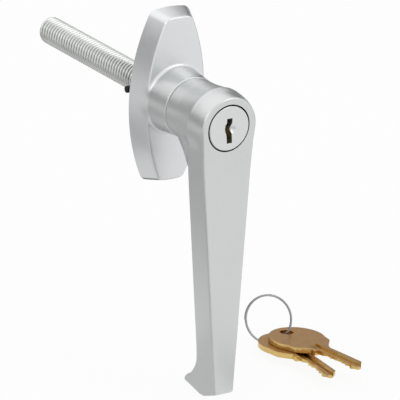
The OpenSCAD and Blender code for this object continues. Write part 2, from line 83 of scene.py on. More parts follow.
def side_mm(node, axis, high=False):
    """Where a CAD node ends along one axis, in millimetres."""
    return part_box(node)[int(high)]["xyz".index(axis)] / MM


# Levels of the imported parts, in millimetres
FACE_Y = side_mm("lock_plug", "y")
BOSS_END = side_mm("base_plate", "y")
SEAM = 0.15  # gap between the boss and the hub
HUB_BACK = BOSS_END - SEAM
LEVER_LOW = side_mm("lever", "z")
ROD_NEAR, ROD_FAR = side_mm("spindle", "y"), side_mm("spindle", "y", True)

# Image points: the photograph's frame is 400 by 400
IMAGE = 400

# Camera: heading, drop and roll in degrees, distance in metres, and where the origin shows
VIEW_TURN = 35.16
VIEW_DROP = 20.86
VIEW_ROLL = 3.52
VIEW_LENS = 324.73
VIEW_DISTANCE = 1.201
ORIGIN_AT = (164.56, 92.84)
SENSOR = 36.0


def linear(hex_colour):
    """An sRGB hex colour as linear red, green, blue and alpha."""
    parts = [int(hex_colour[i : i + 2], 16) / 255 for i in (1, 3, 5)]
    return tuple(p / 12.92 if p <= 0.04045 else ((p + 0.055) / 1.055) ** 2.4 for p in parts) + (1.0,)


# ---- Solid forms, as signed distances in millimetres ----


def round_and(a, b, r):
    """Both forms at once, with the edge between them rounded to radius r."""
    return np.minimum(np.maximum(a, b), -r) + np.hypot(np.maximum(a + r, 0), np.maximum(b + r, 0))


def round_or(a, b, r):
    """Either form, with the corner between them filled to radius r."""
    return np.maximum(np.minimum(a, b), r) - np.hypot(np.maximum(r - a, 0), np.maximum(r - b, 0))


def soft_or(a, b, k):
    """Either form, blended where they come within k of each other."""
    return np.minimum(a, b) - np.maximum(k - np.abs(a - b), 0) ** 2 / (4 * k)


def ramp(v, a, b):
    """0 at a, 1 at b, easing in between."""
    t = np.clip((v - a) / (b - a), 0, 1)
    return t * t * (3 - 2 * t)


def outline_distance(u, v, outline):
    """Signed distance from a closed outline of (u, v) points, negative inside."""
    best, inside = None, False
    points = np.asarray(outline, float)
    for p, q in zip(points, np.roll(points, -1, axis=0)):
        e = q - p
        t = np.clip(((u - p[0]) * e[0] + (v - p[1]) * e[1]) / (e @ e), 0, 1)
        d = np.hypot(u - p[0] - t * e[0], v - p[1] - t * e[1])
        best = d if best is None else np.minimum(best, d)
        if p[1] != q[1]:
            over = (p[1] > v) != (q[1] > v)
            inside = inside ^ (over & (u < e[0] * (v - p[1]) / e[1] + p[0]))
    return np.where(inside, -best, best)


def spline(points, per=6):
    """A smooth line through the points."""
    p = np.asarray(points, float)
    ends = np.vstack([2 * p[0] - p[1], p, 2 * p[-1] - p[-2]])
    line = []
    for i in range(len(p) - 1):
        a, b, c, d = ends[i : i + 4]
        for t in np.arange(per) / per:
            line.append(
                b + 0.5 * t * (c - a + t * (2 * a - 5 * b + 4 * c - d + t * (3 * (b - c) + d - a)))
            )
    return np.vstack([line, p[-1:]])


def skin(form, low, high, step):
    """Vertices and four-sided faces of the surface where form is zero, with its edges kept sharp."""
    axes = [np.arange(a - 1.5 * step, b + 2.5 * step, step) for a, b in zip(low, high)]
    field = form(*np.ix_(*axes))
    inside = field < 0
    shape = np.array(field.shape)
    stride = np.array([shape[1] * shape[2], shape[2], 1])
    total = int(shape.prod())
    sums = np.zeros((13, total))
    quads = []
    for axis in range(3):
        cut = [slice(None)] * 3
        cut[axis] = slice(0, -1)
        after = list(cut)
        after[axis] = slice(1, None)
        at = np.argwhere(inside[tuple(cut)] != inside[tuple(after)])
        flat = at @ stride
        f0, f1 = field.ravel()[flat], field.ravel()[flat + stride[axis]]
        start = np.stack([axes[i][at[:, i]] for i in range(3)], 1)
        t = f0 / (f0 - f1)
        for _ in range(2):
            here = start.copy()
            here[:, axis] += t * step
            f = form(*here.T)
            low_side = (f < 0) == (f0 < 0)
            t0, t1 = np.where(low_side, t, 0), np.where(low_side, 1, t)
            g0, g1 = np.where(low_side, f, f0), np.where(low_side, f1, f)
            t = np.clip(t0 + (t1 - t0) * g0 / np.where(g0 == g1, 1, g0 - g1), 0, 1)
        here = start.copy()
        here[:, axis] += t * step
        n = gradient(form, here)
        n /= np.maximum(np.linalg.norm(n, axis=1, keepdims=True), 1e-9)
        reach = (n * here).sum(1)
        values = [
            n[:, 0] * n[:, 0], n[:, 0] * n[:, 1], n[:, 0] * n[:, 2], n[:, 1] * n[:, 1],
            n[:, 1] * n[:, 2], n[:, 2] * n[:, 2], *(n * reach[:, None]).T, *here.T, np.ones(len(n)),
        ]
        u, v = (axis + 1) % 3, (axis + 2) % 3
        around = [flat - stride[u] - stride[v], flat - stride[v], flat, flat - stride[u]]
        for cell in around:
            for k, value in enumerate(values):
                sums[k] += np.bincount(cell, value, total)
        ring = np.stack(around, 1)
        quads.append(np.where((f0 < 0)[:, None], ring, ring[:, ::-1]))
    used = np.flatnonzero(sums[12])
    s = sums[:, used]
    centre = (s[9:12] / s[12]).T
    a = np.empty((len(used), 3, 3))
    for (i, j), k in zip([(0, 0), (0, 1), (0, 2), (1, 1), (1, 2), (2, 2)], range(6)):
        a[:, i, j] = a[:, j, i] = s[k]
    b = s[6:9].T - np.einsum("nij,nj->ni", a, centre)
    a += 0.05 * np.eye(3)
    moved = centre + np.clip(np.linalg.solve(a, b[..., None])[..., 0], -step, step)
    corner = np.stack(np.unravel_index(used, tuple(shape)), 1)
    low_corner = np.stack([axes[i][corner[:, i]] for i in range(3)], 1)
    moved = np.clip(moved, low_corner - 0.1 * step, low_corner + 1.1 * step)
    for _ in range(2):
        g = gradient(form, moved)
        f = form(*moved.T)
        moved -= np.clip(f / np.maximum((g * g).sum(1), 0.2), -0.1, 0.1)[:, None] * g
    number = np.full(total, -1)
    number[used] = np.arange(len(used))
    return moved, number[np.vstack(quads)]


def gradient(form, at, h=0.01):
    """Slope of a form at points, by small steps."""
    out = np.empty_like(at)
    for i in range(3):
        step = np.zeros(3)
        step[i] = h
        out[:, i] = (form(*(at + step).T) - form(*(at - step).T)) / (2 * h)
    return out


def drilled(x, y, z, r, y0, y1):
    """A round hole or pin along the spindle's axis."""
    return np.maximum(np.hypot(x, z) - r, np.maximum(y0 - y, y - y1))


def boxed(u, v, w, lows, highs):
    """A block between two corners."""
    sides = [np.maximum(a - s, s - b) for s, a, b in zip((u, v, w), lows, highs)]
    return np.maximum(np.maximum(sides[0], sides[1]), sides[2])


def sector(x, z, middle, half):
    """A slice of pie round the spindle's axis, up to a half turn wide."""
    a = math.radians(middle)
    along, across = x * math.cos(a) + z * math.sin(a), -x * math.sin(a) + z * math.cos(a)
    h = math.radians(half)
    return np.abs(across) * math.cos(h) - along * math.sin(h)


# ---- Meshes and objects ----


def new_piece(name, verts_mm, faces, body, slot, *replaced, smooth_angle=50):
    """A mesh object from millimetre points, riding on its body."""
    mesh = bpy.data.meshes.new(name)
    mesh.from_pydata((np.asarray(verts_mm) * MM).tolist(), [], [list(map(int, f)) for f in faces])
    mesh.validate()
    mesh.shade_smooth()
    mesh.set_sharp_from_angle(angle=math.radians(smooth_angle))
    piece = bpy.data.objects.new(name, mesh)
    bpy.context.scene.collection.objects.link(piece)
    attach(piece, body)
    if replaced:
        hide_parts(*replaced)
    return piece


def give(piece, *materials):
    """The piece's materials, with the first one on every face."""
    piece.data.materials.clear()
    for material in materials:
        piece.data.materials.append(material)


def refinish(piece, index, chosen):
    """Another of the piece's materials on the faces that chosen picks."""
    for polygon in piece.data.polygons:
        if chosen(polygon):
            polygon.material_index = index


def sweep_faces(steps, around, rings):
    """Faces between a swept section's rings of points, back to the first ring where the sweep closes."""
    return [(around * i + j, around * i + (j + 1) % around,
             around * ((i + 1) % rings) + (j + 1) % around, around * ((i + 1) % rings) + j)
            for i in range(steps) for j in range(around)]


WELD_GAP = 0.002  # in millimetres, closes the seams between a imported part's faces
SOFTEN_FROM = 30  # in degrees, the least fold that counts as an edge


def soften(piece, width_mm):
    """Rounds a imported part's crisp edges without touching its mesh."""
    weld = piece.modifiers.new("weld", "WELD")
    weld.merge_threshold = WELD_GAP * MM
    flat = piece.modifiers.new("flat", "DECIMATE")
    flat.decimate_type = "DISSOLVE"
    flat.angle_limit = math.radians(1)
    edge = piece.modifiers.new("edge", "BEVEL")
    edge.width = width_mm * MM
    edge.segments = 2
    edge.limit_method = "ANGLE"
    edge.angle_limit = math.radians(SOFTEN_FROM)
    edge.harden_normals = True


# ---- Finishes ----


def add(tree, kind, inputs=None, **settings):
    """Adds one node: its own settings, then values or sockets for its inputs."""
    made = tree.nodes.new(kind)
    for name, value in settings.items():
        setattr(made, name, value)
    for name, value in (inputs or {}).items():
        if isinstance(value, bpy.types.NodeSocket):
            tree.links.new(value, made.inputs[name])
        else:
            made.inputs[name].default_value = value
    return made


ROUGH_SPREAD = 0.05  # how far a finish's roughness strays to each side
NOISE_LOW, NOISE_HIGH = 0.6, 1.4  # where the sum of the fine and the broad noise usually lies
PAINTED_SHADE_SHARE = 0.2  # how bright the painted shade is, as a share of the unshaded metal


def metal(name, colour, rough, grain_mm, grain, tint, metallic=1.0, blotch_mm=9.0, unshaded_mm=None):
    """A finish with a fine grain and broad blotches, whose sizes are given in millimetres.

    grain_mm is the grain's size along x, y and z, grain its height, and tint how far the colour strays.
    unshaded_mm gives the radii round the spindle's axis between which it goes from a painted shade to the
    plain finish.
    Real brushing, turning, rolling and casting marks are some 0.02 to 0.1 mm wide, too fine to show in
    the render, so each grain is drawn 0.15 to 0.6 mm wide.
    """
    found = bpy.data.materials.get(name)
    if found:
        return found
    made = bpy.data.materials.new(name)
    made.use_nodes = True
    tree = made.node_tree
    shader = tree.nodes["Principled BSDF"]
    shader.inputs["Metallic"].default_value = metallic
    place = add(tree, "ShaderNodeTexCoord").outputs["Object"]
    scaled = add(tree, "ShaderNodeMapping", {"Vector": place, "Scale": [1 / (g * MM) for g in grain_mm]})
    fine = add(tree, "ShaderNodeTexNoise", {
        "Vector": scaled.outputs["Vector"], "Scale": 1.0, "Detail": 3.0, "Roughness": 0.6})
    broad = add(tree, "ShaderNodeTexNoise", {"Vector": place, "Scale": 1 / (blotch_mm * MM), "Detail": 2.0})
    mixed = add(tree, "ShaderNodeMath", {0: fine.outputs["Fac"], 1: broad.outputs["Fac"]})
    level = add(tree, "ShaderNodeMapRange", {
        "Value": mixed.outputs["Value"], "From Min": NOISE_LOW, "From Max": NOISE_HIGH,
        "To Min": 1 - tint, "To Max": 1 + tint})
    shade = level.outputs["Result"]
    # Painted shade: the colour darkens by the radius round the spindle's axis, standing in for shade.
    if unshaded_mm:
        flat = add(tree, "ShaderNodeVectorMath", {0: place, 1: (1, 0, 1)}, operation="MULTIPLY")
        radius = add(tree, "ShaderNodeVectorMath", {0: flat.outputs["Vector"]}, operation="LENGTH")
        clean = add(tree, "ShaderNodeMapRange", {
            "Value": radius.outputs["Value"], "From Min": unshaded_mm[0] * MM, "From Max": unshaded_mm[1] * MM,
            "To Min": PAINTED_SHADE_SHARE, "To Max": 1.0})
        shade = add(tree, "ShaderNodeMath", {0: shade, 1: clean.outputs["Result"]},
                    operation="MULTIPLY").outputs[0]
    tone = add(tree, "ShaderNodeVectorMath", {0: colour[:3], "Scale": shade}, operation="SCALE")
    tree.links.new(tone.outputs["Vector"], shader.inputs["Base Color"])
    gloss = add(tree, "ShaderNodeMapRange", {
        "Value": mixed.outputs["Value"], "From Min": NOISE_LOW, "From Max": NOISE_HIGH,
        "To Min": rough - ROUGH_SPREAD, "To Max": rough + ROUGH_SPREAD})
    tree.links.new(gloss.outputs["Result"], shader.inputs["Roughness"])
    bump = add(tree, "ShaderNodeBump", {
        "Height": fine.outputs["Fac"], "Strength": 1.0, "Distance": grain * MM})
    tree.links.new(bump.outputs["Normal"], shader.inputs["Normal"])
    return made


def chosen_colour(name):
    """One of the colours that the user can change."""
    return getattr(bpy.context.scene.handle_finishes, name)


def satin_chrome():
    """Zinc die-casting, brushed and satin chrome plated: soft broad reflections, faint long brush lines."""
    return metal("satin_chrome_zinc", chosen_colour("satin"), 0.34, (0.35, 0.35, 9.0), 0.004, 0.02)


def satin_chrome_plate():
    """The same finish on the flat plate, made a little brighter and bluer as painted light."""
    return metal("satin_chrome_plate", chosen_colour("plate"), 0.32, (0.5, 0.35, 3.0), 0.003, 0.015)


def plug_chrome():
    """Turned and satin chrome plated lock plug: a touch lighter, fine even grain, with painted shade round
    its rim.
    """
    # Painted shade on the plug's rim, from 7.6 mm out from the axis.
    return metal("satin_chrome_plug", chosen_colour("plug"), 0.34, (0.3, 0.3, 0.3), 0.003, 0.02,
                 unshaded_mm=(7.74, 7.6))


def zinc_plate():
    """Bright zinc plating on rolled steel thread: fairly glossy, with painted shade down in the thread's
    roots.
    """
    # Painted shade in the thread's roots, inside 4.4 mm from the axis.
    return metal("bright_zinc_steel", chosen_colour("zinc"), 0.28, (0.6, 0.6, 0.6), 0.002, 0.08,
                 unshaded_mm=(3.9, 4.4))


def black_oxide():
    """Spring steel pin, black oxide: near black with a dull sheen."""
    return metal("black_oxide_steel", linear("#1A1A1B"), 0.45, (0.3, 0.3, 0.3), 0.003, 0.2, metallic=0.6)


def key_brass():
    """Rolled and blanked brass: golden brown, faint rolling lines, slightly dulled by handling."""
    return metal("rolled_brass", chosen_colour("brass"), 0.34, (0.25, 2.5, 0.25), 0.004, 0.12,
                 blotch_mm=3.0)


def milled_brass():
    """Brass freshly cut by the key cutter: brighter and more yellow than the rolled faces."""
    return metal("milled_brass", linear("#D2B474"), 0.22, (0.15, 0.15, 1.0), 0.006, 0.1, blotch_mm=1.5)


def tarnished_brass():
    """Brass darkened as painted shade down in the key's groove."""
    return metal("tarnished_brass", linear("#7A5524"), 0.45, (0.3, 0.3, 0.3), 0.003, 0.15)


def wafer_painted_shade_brass():
    """Stamped brass wafers, unpolished and dull, made dark brown as painted shade down in the keyway."""
    return metal("stamped_brass", linear("#6A5628"), 0.5, (0.3, 0.3, 0.3), 0.004, 0.1)


def ring_steel():
    """Nickel plated spring steel strip: grey, smooth and glossy."""
    return metal("nickel_spring_steel", chosen_colour("ring"), 0.24, (0.3, 0.3, 0.3), 0.001, 0.04)


def plain_steel():
    """Drawn steel of the small springs, clips and pins, and the rod's cut end: bright, even grey."""
    return metal("drawn_steel", linear("#A9ABAD"), 0.32, (0.3, 0.3, 0.3), 0.002, 0.05)


def raw_zinc():
    """Zinc die-casting as it leaves the die: dull grey, slightly mottled."""
    return metal("cast_zinc", linear("#9B9C9B"), 0.5, (0.4, 0.4, 0.4), 0.01, 0.08)


def bore_painted_shade():
    """Zinc down in the lock's bore, dull, made dark as painted shade."""
    return metal("bare_zinc_bore", linear("#3A3B3B"), 0.6, (0.4, 0.4, 0.4), 0.01, 0.1)


def rubber():
    """Nitrile seal ring: black, soft sheen."""
    return metal("nitrile_rubber", linear("#161616"), 0.6, (0.3, 0.3, 0.3), 0.004, 0.1, metallic=0.0)


# ---- User sizes and colours ----


class HandleSizes(bpy.types.PropertyGroup):
    """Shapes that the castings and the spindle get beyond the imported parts"""

    lever_edge: FloatProperty(name="Lever edge", description="Radius along the lever's front edges",
                              default=0.0005, min=0.0003, max=0.003, subtype="DISTANCE", unit="LENGTH")
    plate_edge: FloatProperty(name="Plate edge", description="Radius round the plate's front face",
                              default=0.00045, min=0.0003, max=0.0015, subtype="DISTANCE", unit="LENGTH")
    boss_fillet: FloatProperty(name="Boss fillet", description="Radius where the boss rises from the plate",
                               default=0.0010, min=0.0003, max=0.002, subtype="DISTANCE", unit="LENGTH")
    lever_crown: FloatProperty(name="Lever crown",
                               description="How far the lever's front face bows forward",
                               default=0.00025, min=0.0, max=0.001, subtype="DISTANCE", unit="LENGTH")
    thread_pitch: FloatProperty(name="Thread pitch", description="Advance of the spindle's thread per turn",
                                default=0.0015875, min=0.001, max=0.003, subtype="DISTANCE", unit="LENGTH")
    casting_detail: FloatProperty(name="Casting detail",
                                  description="Grid step the castings are skinned with",
                                  default=0.0004, min=0.0002, max=0.001, subtype="DISTANCE", unit="LENGTH")


class HandleFinishes(bpy.types.PropertyGroup):
    """Colours of the finishes"""

    satin: FloatVectorProperty(name="Satin chrome", description="Lever, hub and boss", size=4,
                               default=linear("#CFD1D1"), min=0.0, max=1.0, subtype="COLOR")
    plate: FloatVectorProperty(name="Plate chrome", description="Escutcheon plate", size=4,
                               default=linear("#DBDDDE"), min=0.0, max=1.0, subtype="COLOR")
    plug: FloatVectorProperty(name="Plug", description="Face of the lock plug", size=4,
                              default=linear("#D6D8D7"), min=0.0, max=1.0, subtype="COLOR")
    zinc: FloatVectorProperty(name="Zinc plate", description="Threaded spindle and washers", size=4,
                              default=linear("#D2D4D1"), min=0.0, max=1.0, subtype="COLOR")
    brass: FloatVectorProperty(name="Brass", description="Keys", size=4,
                               default=linear("#BA905C"), min=0.0, max=1.0, subtype="COLOR")
    ring: FloatVectorProperty(name="Ring", description="Split ring", size=4,
                              default=linear("#A2A4A7"), min=0.0, max=1.0, subtype="COLOR")
    floor: FloatVectorProperty(name="Floor", description="Floor under the object", size=4,
                               default=linear("#F2F2F2"), min=0.0, max=1.0, subtype="COLOR")


# ---- Castings ----

# The plate, in millimetres. Its sides and ends are arcs, each struck from a centre that far off the middle.
PLATE_T = 6.6
SIDE_R, SIDE_OFF, SIDE_DRAFT = 68.0, 53.9, 2.9
END_R, END_OFF, END_DRAFT = 38.0, 7.7, 1.8
CORNER_R = 1.3
WALL_T, ROOF_T, INSIDE_R = 2.2, 2.7, 0.8
BOSS_FOOT_R, BOSS_TOP_R, BOSS_EDGE, BORE_R = 11.5, 10.6, 0.35, 8.05
POST_Z, POST_R, TAP_R, TAP_END = 22.225, 4.2, 1.95, -5
# The bolt's two notches and the lug's arc pocket, open at the boss's front
NOTCH_HALF, NOTCH_OUT, NOTCH_FLOOR = 2.15, 9.61, -13.2
POCKET_R, POCKET_FLOOR, POCKET_MIDDLE, POCKET_HALF = 9.85, -14.25, 315, 58


def plate_form(sizes):
    """The escutcheon plate with its boss, hollow back, posts, notches and stop pocket."""
    edge, fillet = sizes.plate_edge / MM, sizes.boss_fillet / MM

    def walls(x, z, depth, inset):
        side = SIDE_R - inset - SIDE_DRAFT * depth / PLATE_T
        end = END_R - inset - END_DRAFT * depth / PLATE_T
        sides = np.hypot(np.abs(x) + SIDE_OFF, z) - side
        return round_and(sides, np.hypot(x, np.abs(z) + END_OFF) - end, CORNER_R)

    def form(x, y, z):
        r = np.hypot(x, z)
        shell = round_and(walls(x, z, -y, 0), -PLATE_T - y, edge)
        boss_r = BOSS_FOOT_R + (y + PLATE_T) * (BOSS_FOOT_R - BOSS_TOP_R) / (-BOSS_END - PLATE_T)
        boss = round_and(r - boss_r, BOSS_END - y, BOSS_EDGE)
        solid = np.maximum(round_or(shell, boss, fillet), y)
        post = np.hypot(x, np.abs(z) - POST_Z)
        hollow = np.maximum(walls(x, z, -y, WALL_T), -(PLATE_T - ROOF_T) - y)
        hollow = round_and(round_and(hollow, BOSS_FOOT_R - r, INSIDE_R), POST_R - post, INSIDE_R)
        solid = np.maximum(solid, -hollow)
        solid = np.maximum(solid, BORE_R - r)
        solid = np.maximum(solid, -np.maximum(post - TAP_R, TAP_END - y))
        for u, v in ((-x, z), (z, x)):
            notch = boxed(u, v, y, (0, -NOTCH_HALF, -20), (NOTCH_OUT, NOTCH_HALF, NOTCH_FLOOR))
            solid = np.maximum(solid, -notch)
        pocket = np.maximum(r - POCKET_R, sector(x, z, POCKET_MIDDLE, POCKET_HALF))
        return np.maximum(solid, -np.maximum(pocket, y - POCKET_FLOOR))

    return form


# The lever, in millimetres. Profiles are (y, radius) along the spindle's axis, the hook's line is (y, z).
HUB_PROFILE = np.array([(HUB_BACK, 10.45), (-19, 10.48), (-22.4, 10.6), (-24.5, 10.8), (-27, 11.12),
                        (-29, 11.42), (-30.7, 11.74), (-40, 11.74)])[::-1]
HUB_EDGE = 0.3
FLARE_PROFILE = spline([(-33.4, 66), (-32.4, 57), (-31.3, 48.6), (-30, 40.6), (-28.7, 33.2), (-27.3, 28.2),
                        (-25.6, 21.8), (-24.2, 18.4), (-22.3, 15.2), (-20.3, 13), (-18.8, 11.8),
                        (-17.5, 10.9), (HUB_BACK, 10.3)])
FLARE_HALF, FLARE_TAPER, FLARE_EDGE, FLARE_FRONT = 8.8, 0.06, 4.2, -34
LEAN_FROM, LEAN_SLOPE, LEAN_BLEND, LEVER_T = 10.0, 0.079, 5.0, 9.7
HEAD_R, HEAD_DRAFT, HEAD_BACK = 11.75, 1.4, -30.7
HOOK_LINE = [(-33.6, -72), (-33.95, -77), (-34.1, -80), (-33.95, -82.7), (-33.05, -85.1), (-30.7, -88.3),
             (-27.9, -90.5), (-26.9, -91.7), (-26.95, -92.6), (-27.9, -93.05), (-30.75, -93.5),
             (-36.0, -94.55)]
# The blade's half width at the axis is BLADE_FRONT on its face, and BLADE_HALF from SIDE_DEEP behind it.
BLADE_HALF, BLADE_TAPER, BLADE_CURVE, BLADE_FRONT = 10.52, 0.0721, 0.000025, 10.35
SIDE_DEEP, NECK_BLEND = 7.7, 1.2
CROWN_FROM, CROWN_FULL = -12, -40  # the front face is flat above the one and fully bowed below the other
BACK_EDGE, BACK_EDGE_GAIN = 0.25, 0.55  # the back's radius at the head, and how much it gains by z = -20
# The lug that the arc pocket stops, the spigot in the plate's bore, and the seal ring's groove
LUG_OUT, LUG_IN, LUG_HALF, LUG_T = 9.7, 7.5, 12, 2
SPIGOT_R, SPIGOT_END = 8.0, -0.3
SEAL_R, SEAL_Y, SEAL_HALF = 6.54, -11.05, 0.95
# The plug's mouth, a little off the axis so that its rim's shadow shows as in the photograph
MOUTH_X, MOUTH_Z, MOUTH_R, MOUTH_END = -0.26, 0.16, 8.12, -36.5
# Round rooms on the axis: radius, near end and far end
ROUND_ROOMS = ((8.0, -36.6, -19.1), (6.2, -20, -18.5), (5.6, -20, -16.0), (4.81, -8.7, 1))
# The bolt's room and its slot, as corners along -x, z and y
BOLT_ROOMS = (((-4.4, -4.4, -16.1), (5.2, 4.4, -13.3)), ((0, -2.1, -16.1), (8.5, 2.1, -13.3)))
# The holes for the shell pin, at an eighth of a turn, and for the spindle pin, across the axis
SHELL_PIN_AT, SHELL_PIN_R, SHELL_PIN_Y = 5.657, 0.92, -23.3
SPINDLE_PIN_Y, SPINDLE_PIN_R, SPINDLE_PIN_HALF = -4.5, 1.22, 9


def lever_form(sizes):
    """The lever with its head, hub, flare, finger hook and spigot, and the room for the lock."""
    edge, crown = sizes.lever_edge / MM, sizes.lever_crown / MM
    back = [(-60, 20), (HEAD_BACK, 20)]
    back += spline([(HEAD_BACK, 6), (HEAD_BACK, 0), (HEAD_BACK + 0.25, -4), (-29.7, -9), (-29.3, -14),
                    (-29.45, -19), (FACE_Y + LEVER_T - 1.2, -25)]).tolist()
    back += spline(HOOK_LINE).tolist() + [(-38.2, LEVER_LOW + 0.35), (-43.9, -92.1), (-60, -85.8)]
    flare_y = np.linspace(-36, HUB_BACK, 200)
    flare_r = np.interp(flare_y, FLARE_PROFILE[:, 0], FLARE_PROFILE[:, 1])
    flare_slope = np.sqrt(1 + np.gradient(flare_r, flare_y) ** 2)

    def blade_and_head(x, y, z, r):
        low = -LEAN_FROM - z
        lean = LEAN_SLOPE * 0.5 * (low + np.hypot(low, LEAN_BLEND))
        half = BLADE_HALF + BLADE_TAPER * z + BLADE_CURVE * z * z
        gap = half - np.sqrt(np.maximum(HEAD_R**2 - z * z, 0))
        blend = np.maximum(NECK_BLEND - np.abs(gap), 0) ** 2 / (4 * NECK_BLEND)
        blade = half + np.maximum(-gap, 0) + blend
        slant = np.hypot(1, np.clip(z / HEAD_R, -0.5, 0) * (gap < 0))
        tear = np.where(z < 0, (np.abs(x) - blade) / slant, r - HEAD_R)
        front = FACE_Y - lean - crown * (1 - (x / half) ** 2) * ramp(z, CROWN_FROM, CROWN_FULL) - y
        taper = np.where(z < 0, blade - BLADE_FRONT - BLADE_TAPER * z, HEAD_DRAFT)
        along = np.maximum(1 + front / SIDE_DEEP, 0)
        steep = np.hypot(1, 0.325 * taper * along**1.5)  # 0.325 is 2.5 / SIDE_DEEP
        cap = round_and((tear + taper * along**2.5) / steep, front, edge)
        return round_and(cap, outline_distance(y, z, back), BACK_EDGE + BACK_EDGE_GAIN * ramp(-z, 0, 20))

    def hub_and_flare(x, y, z, r):
        hub = round_and(r - np.interp(y, HUB_PROFILE[:, 0], HUB_PROFILE[:, 1]), y - HUB_BACK, HUB_EDGE)
        hub = np.maximum(hub, HEAD_BACK - 1 - y)
        steep = np.interp(y, flare_y, flare_slope)
        horn = (r - np.interp(y, FLARE_PROFILE[:, 0], FLARE_PROFILE[:, 1])) / steep
        horn = round_and(horn, np.abs(x) - (FLARE_HALF + FLARE_TAPER * z), FLARE_EDGE)
        horn = np.maximum(np.maximum(horn, z), np.maximum(FLARE_FRONT - y, y - HUB_BACK))
        return soft_or(hub, horn, 0.01 + 1.4 * ramp(-y, 18.5, 22.5))

    def lock_room(x, y, z, r):
        room = drilled(x - MOUTH_X, y, z - MOUTH_Z, MOUTH_R, -60, MOUTH_END)
        for radius, y0, y1 in ROUND_ROOMS:
            room = np.minimum(room, drilled(x, y, z, radius, y0, y1))
        groove = np.maximum(SEAL_R - r, np.abs(y - SEAL_Y) - SEAL_HALF)
        room = np.minimum(room, np.maximum(groove, r - 9))
        for lows, highs in BOLT_ROOMS:
            room = np.minimum(room, boxed(-x, z, y, lows, highs))
        shell_pin = drilled(x - SHELL_PIN_AT, y, z + SHELL_PIN_AT, SHELL_PIN_R, SHELL_PIN_Y, HUB_BACK + 0.5)
        spindle_pin = np.hypot(y - SPINDLE_PIN_Y, z) - SPINDLE_PIN_R
        spindle_pin = np.maximum(spindle_pin, np.abs(x) - SPINDLE_PIN_HALF)
        return np.minimum(np.minimum(room, shell_pin), spindle_pin)

    def form(x, y, z):
        r = np.hypot(x, z)
        solid = soft_or(hub_and_flare(x, y, z, r), blade_and_head(x, y, z, r), 0.25)
        lug = np.maximum(np.maximum(r - LUG_OUT, LUG_IN - r), sector(x, z, 0, LUG_HALF))
        lug = np.maximum(lug, np.maximum(HUB_BACK - 0.5 - y, y - HUB_BACK - LUG_T))
        spigot = drilled(x, y, z, SPIGOT_R, HUB_BACK - 0.5, SPIGOT_END)
        solid = np.minimum(solid, np.minimum(lug, spigot))
        return np.maximum(solid, -lock_room(x, y, z, r))

    return form


BOSS_FROM = 1  # in millimetres above the plate, where the boss's own finish starts
SHADED_BORE_R, SHADED_BORE_FROM = 8.6, 0.15  # in millimetres, the radius of the bore's painted shade and how far in it starts


def in_bore(x, y, z):
    """Whether a place in millimetres is down in the lock's bore."""
    return math.hypot(x, z) < SHADED_BORE_R and y > FACE_Y + SHADED_BORE_FROM


class HANDLE_OT_escutcheon(bpy.types.Operator):
    """Skins the escutcheon plate with its boss and edge radii"""

    bl_idname = "handle.escutcheon"
    bl_label = "Escutcheon plate"

    def execute(self, context):
        sizes = context.scene.handle_sizes
        low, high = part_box("base_plate")
        verts, faces = skin(plate_form(sizes), low / MM, high / MM, sizes.casting_detail / MM)
        plate = new_piece("escutcheon_plate", verts, faces, "base", "satin_chrome", "base_plate")
        # The plate gets the brighter copy of the satin chrome, its extra brightness painted light; the boss
        # keeps the plain one.
        give(plate, satin_chrome_plate(), satin_chrome())
        refinish(plate, 1, lambda polygon: polygon.center.y < -(PLATE_T + BOSS_FROM) * MM)
        return {"FINISHED"}


class HANDLE_OT_lever(bpy.types.Operator):
    """Skins the lever with its flared hub, rounded head and finger hook"""

    bl_idname = "handle.lever"
    bl_label = "Lever"

    def execute(self, context):
        sizes = context.scene.handle_sizes
        low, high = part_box("lever")
        verts, faces = skin(lever_form(sizes), low / MM, high / MM, sizes.casting_detail / MM)
        lever = new_piece("handle_lever", verts, faces, "handle", "satin_chrome", "lever")
        # Painted shade on the lever's faces down in the lock's bore.
        give(lever, satin_chrome(), bore_painted_shade())
        refinish(lever, 1, lambda polygon: in_bore(*polygon.center / MM))
        return {"FINISHED"}


# ---- Spindle and what holds it ----


ROD_SIDES, ROWS_PER_TURN = 72, 12
THREAD_DEPTH = 0.6134  # of the pitch
CREST_SHARE, FLANK_SHARE = 0.16, 0.74  # of half a pitch, from the crest's middle
ROD_CHAMFER, ROOT_RISE, RUN_OUT = 0.7, 0.1, 1.2  # where the thread starts and ends, in millimetres


def thread_radius(phase, outer, depth):
    """Radius over one pitch of a rolled thread, flat on the crest and rounded at the root."""
    p = np.abs(phase - np.round(phase)) * 2
    return outer - depth * np.clip((p - CREST_SHARE) / FLANK_SHARE, 0, 1)


def threaded_rod(outer, pitch, y0, y1):
    """Vertices and faces of a rod with a right-hand thread, chamfered at both ends."""
    depth = THREAD_DEPTH * pitch
    count = int(math.ceil((y1 - y0) / pitch) + 2) * ROWS_PER_TURN
    turn = np.arange(ROD_SIDES) / ROD_SIDES
    row = np.arange(count)[:, None] / ROWS_PER_TURN - 1
    y = np.clip(y0 + pitch * (row + turn), y0, y1)
    r = thread_radius((y - y0) / pitch - turn, outer, depth)
    from_end = np.minimum(y - y0, y1 - y)
    r = np.minimum(r, outer - depth + ROOT_RISE + from_end * RUN_OUT)
    r = np.minimum(r, outer - ROD_CHAMFER + from_end)
    a = 2 * math.pi * turn
    ring = np.stack([r * np.cos(a), y, -r * np.sin(a)], -1).reshape(-1, 3)
    i, j = np.meshgrid(np.arange(count), np.arange(ROD_SIDES), indexing="ij")
    after, shift = (j + 1) % ROD_SIDES, np.where(j + 1 == ROD_SIDES, ROWS_PER_TURN, 0)
    here, up = i * ROD_SIDES + j, (i + 1) * ROD_SIDES + j
    right, up_right = (i + shift) * ROD_SIDES + after, (i + 1 + shift) * ROD_SIDES + after
    return ring, np.stack([here, up, up_right, right], -1)[(i + 1 + shift) < count]


